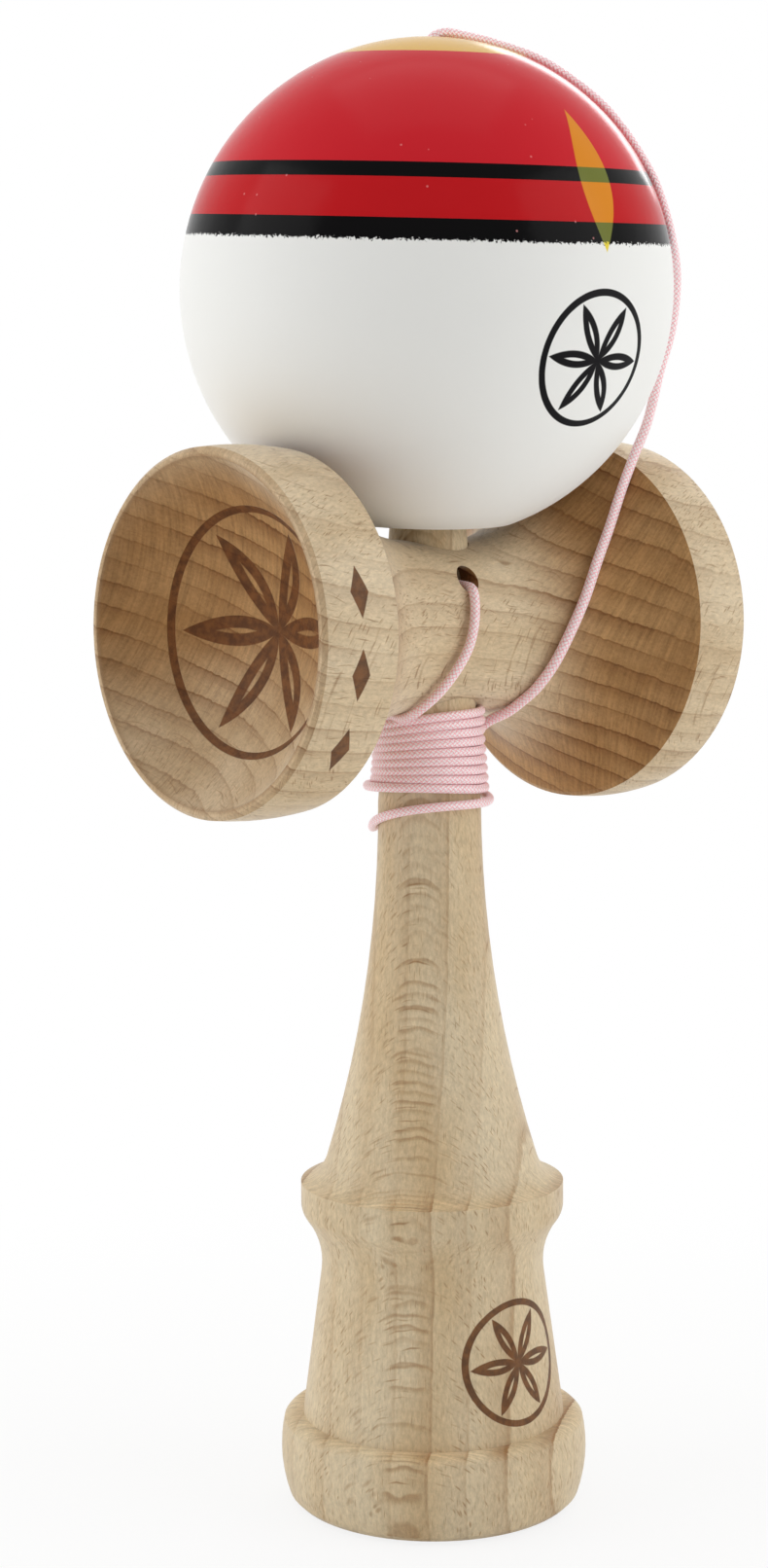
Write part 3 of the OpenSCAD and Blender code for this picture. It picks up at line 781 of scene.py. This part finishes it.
# %% Marks on the crosspiece
CUP_ROSE_R, BAND_R, BAND_X = 13.0, 21.3, -30.3  # the rose, and the band's radius and place
LOZENGE_TURN, LOZENGE_STEP = radians(11), radians(24.5)
LOZENGE_HALF_HEIGHT, LOZENGE_HALF_WIDTH = 3.0, 1.35
drawn = node(tree, "ShaderNodeGroup", {"node_tree": rose}, Place=in_cup, Radius=CUP_ROSE_R).outputs[0]
cup_mark = times(tree, drawn, small_side, rise(tree, axis_far, 18.5, 18.3))
around = maths(tree, "ARCTAN2", times(tree, cup_y, -1.0), times(tree, cup_x, -1.0))
around = maths(tree, "SUBTRACT", around, LOZENGE_TURN)
third = maths(tree, "ABSOLUTE", maths(tree, "WRAP", around, LOZENGE_STEP / 2, -LOZENGE_STEP / 2))
from_row = maths(tree, "ABSOLUTE", maths(tree, "SUBTRACT", cup_z, BAND_X))
lozenge = maths(tree, "ADD", times(tree, third, BAND_R / LOZENGE_HALF_HEIGHT),
                times(tree, from_row, 1 / LOZENGE_HALF_WIDTH))
row = times(tree, rise(tree, maths(tree, "ABSOLUTE", around), radians(36.8), radians(36.5)),
            rise(tree, axis_far, 20.6, 20.9))
band_mark = times(tree, rise(tree, lozenge, 1.03, 0.93), row)
finish_burnt_wood(tree, shader, cut, cross_colour, maths(tree, "MAXIMUM", cup_mark, band_mark), in_cup)
dress("crosspiece", cross_wood)

# %% [markdown]
# ### The bead
# The bead is a scrap of the same beech. Only its place inside the ball matters, so it gets the
# wood without marks.

# %% Bead
bead_wood, tree, shader, where, cut = wood(
    "bead_beech", Matrix.Identity(3), (2.4, 0.2, 0.2),
    ((226, 205, 170), (212, 186, 146), (140, 98, 58), (205, 170, 130)), (0.5, 0.98))
finish_wood(tree, shader, cut, cut.outputs["Color"], cut.outputs["Height"], 0.00006)
dress("ball_bead", bead_wood)

# %% [markdown]
# ## The painted ball
# The ball is turned, sprayed white below and red above, and striped on a spinning chuck, so
# every stripe is a slice square to the ball's own axis. Height along that axis is a dot
# product, and a colour ramp with hard steps paints the bands. Where the black runs over the
# white the brush left a ragged edge, so a noise moves that one edge up and down.

# %% Stripes
LOW_BLACK, LOW_RED, HIGH_BLACK, HIGH_RED, CAP = 6.15, 8.48, 12.98, 14.65, 27.5  # where each stripe starts
RAGGED = 1.8  # how far the ragged edge wanders
BLACK = ink(4, 3, 4)
gloss_paint, tree, shader = new_material("gloss_paint")
where = node(tree, "ShaderNodeTexCoord").outputs["Object"]
from_centre = node(tree, "ShaderNodeMapping", Vector=where, Scale=TO_MM, Location=-BALL_AT).outputs[0]
height = vector_maths(tree, "DOT_PRODUCT", from_centre, tuple(BALL_AXIS))
ragged = maths(tree, "SUBTRACT", noise(tree, from_centre, 2.4, 4.0, 0.75), 0.5)
stripe_at = maths(tree, "ADD", height, times(tree, ragged, rise(tree, height, 7.4, 6.8), RAGGED))


def striped(bands):
    """A colour for every height, from bands that each give their lower edge and their colour."""
    share = maths(tree, "DIVIDE", maths(tree, "ADD", stripe_at, BALL_R), 2 * BALL_R)
    ramp = node(tree, "ShaderNodeValToRGB", Fac=share)
    stops = ramp.color_ramp.elements
    ramp.color_ramp.interpolation = "CONSTANT"
    for i, (low, paint) in enumerate(bands):
        position = (low + BALL_R) / (2 * BALL_R)
        stop = stops[i] if i < 2 else stops.new(position)
        stop.position, stop.color = position, paint
    return ramp.outputs[0]


stripes = striped([(-BALL_R, ink(241, 241, 238)), (LOW_BLACK, BLACK), (LOW_RED, ink(192, 24, 30)),
                   (HIGH_BLACK, BLACK), (HIGH_RED, ink(203, 34, 44)), (CAP, ink(224, 180, 96))])
print("stripes start at", LOW_BLACK, LOW_RED, HIGH_BLACK, HIGH_RED, "and", CAP, "mm")

# %% [markdown]
# ### A leaf and a rose on the ball
# A thin amber leaf is painted over the stripes. Thin paint lets the stripes show through, so
# the leaf has stripes of its own: yellow over white, olive over black, orange over red. The
# rose below it is printed in black.

# %% Leaf and rose
LEAF_FOOT, LEAF_LENGTH, LEAF_HALF_WIDTH = 5.2, 16.2, 2.5
BALL_ROSE_R, BALL_ROSE_DROP = 7.0, radians(19)
OLIVE, ORANGE = ink(112, 118, 52), ink(222, 138, 36)
ball_x, ball_y = split(tree, from_centre)[:2]
facing_front = rise(tree, ball_y, -2.0, -4.0)
up_leaf = maths(tree, "DIVIDE", maths(tree, "SUBTRACT", height, LEAF_FOOT), LEAF_LENGTH)
up_leaf = maths(tree, "MAXIMUM", maths(tree, "MINIMUM", up_leaf, 1.0), 0.0)
leaf_half = times(tree, maths(tree, "SINE", times(tree, up_leaf, pi)), LEAF_HALF_WIDTH)
in_leaf = maths(tree, "SUBTRACT", leaf_half, maths(tree, "ABSOLUTE", ball_x))
leaf = times(tree, rise(tree, in_leaf, 0.0, 0.15), facing_front)
stain = striped([(-BALL_R, ink(236, 214, 70)), (LOW_BLACK, OLIVE), (LOW_RED, ORANGE),
                 (HIGH_BLACK, OLIVE), (HIGH_RED, ORANGE)])
on_front = node(tree, "ShaderNodeMapping", Vector=from_centre,
                Rotation=(pi / 2 - BALL_ROSE_DROP, 0, 0)).outputs[0]
drawn = node(tree, "ShaderNodeGroup", {"node_tree": rose}, Place=on_front, Radius=BALL_ROSE_R).outputs[0]
colour = blend_colour(tree, leaf, stripes, stain)
colour = blend_colour(tree, times(tree, drawn, facing_front), colour, ink(22, 21, 23))
print("the leaf reaches from", LEAF_FOOT, "to", round(LEAF_FOOT + LEAF_LENGTH, 1), "mm")

# %% [markdown]
# ### Gloss and dust
# Red and black are gloss paint with a few specks of dust caught in it, while the white is
# duller from play. A very shallow noise bump gives the skin that sprayed paint has.

# %% Gloss and dust
glossy = rise(tree, height, 6.0, 6.3)
dust = node(tree, "ShaderNodeTexVoronoi", {"feature": "F1"}, Vector=from_centre, Scale=0.35)
speck = times(tree, rise(tree, dust.outputs["Distance"], 0.06, 0.03), 0.5, glossy)
tree.links.new(blend_colour(tree, speck, colour, ink(235, 160, 160)), shader.inputs["Base Color"])
dull = scaled(tree, noise(tree, from_centre, 0.12, 3.0), 0.12, 0.32)
tree.links.new(scaled(tree, glossy, -0.2, dull), shader.inputs["Roughness"])
shader.inputs["Specular IOR Level"].default_value = 0.06
skin = node(tree, "ShaderNodeBump", Strength=0.12, Distance=0.0002, Height=noise(tree, from_centre, 0.5))
tree.links.new(skin.outputs[0], shader.inputs["Normal"])
dress("ball", gloss_paint)

# %% [markdown]
# ## The braid
# A round braid is two sets of yarns that spiral opposite ways and pass over and under each
# other. On the tube's UV map these are two slanting stripes; where the two stripe numbers add
# up to an even number the first set is on top, and where odd the second. The yarn on top dents
# the surface, and its colour is painted dark pink where it dips and near white on its crown, a
# painted shade and highlight that gives the small bright stitches of a braided cord.

# %% Braid material
YARNS, STITCH = 6.0, 0.6  # yarns round the cord, and millimetres along it for each stitch
pink_braid, tree, shader = new_material("pink_braid")
braid_map = node(tree, "ShaderNodeUVMap", {"uv_map": "braid_map"}).outputs[0]
round_cord, along_cord = split(tree, braid_map)[:2]
round_cord, along_cord = times(tree, round_cord, YARNS), maths(tree, "DIVIDE", along_cord, STITCH)
first, second = maths(tree, "ADD", round_cord, along_cord), maths(tree, "SUBTRACT", round_cord, along_cord)
stripe_sum = maths(tree, "ADD", maths(tree, "FLOOR", first), maths(tree, "FLOOR", second))
odd = maths(tree, "MODULO", maths(tree, "ABSOLUTE", stripe_sum), 2.0)


def yarn(number):
    """The rounded height of a yarn across its stripe."""
    return maths(tree, "SINE", times(tree, maths(tree, "FRACT", number), pi))


on_top = node(tree, "ShaderNodeMix", {"data_type": "FLOAT"}, i0=odd, i2=yarn(first), i3=yarn(second)).outputs[0]
fuzz = noise(tree, node(tree, "ShaderNodeTexCoord").outputs["Object"], 1800.0)
# Painted shade and highlight: dark pink where a yarn dips under its neighbour, near white on its crown.
shade = blend_colour(tree, on_top, ink(255, 140, 156), ink(255, 250, 250))
shade = blend_colour(tree, times(tree, rise(tree, fuzz, 0.5, 0.75), 0.35), shade, ink(252, 232, 236))
tree.links.new(shade, shader.inputs["Base Color"])
tree.links.new(scaled(tree, fuzz, 0.2, 0.3), shader.inputs["Roughness"])
shader.inputs["Specular IOR Level"].default_value = 1.0
stitches = node(tree, "ShaderNodeBump", Strength=0.5, Distance=0.00012, Height=on_top)
tree.links.new(stitches.outputs[0], shader.inputs["Normal"])
for piece in (cord, handle_knot, bead_knot):
    piece.data.materials.append(pink_braid)
print("braid on the cord and its knots")

# %% [markdown]
# ## Finish
# Nothing here changes the size of the CAD frame; the last step brings the scene up to date.

# %% Finish
bpy.context.view_layer.update()
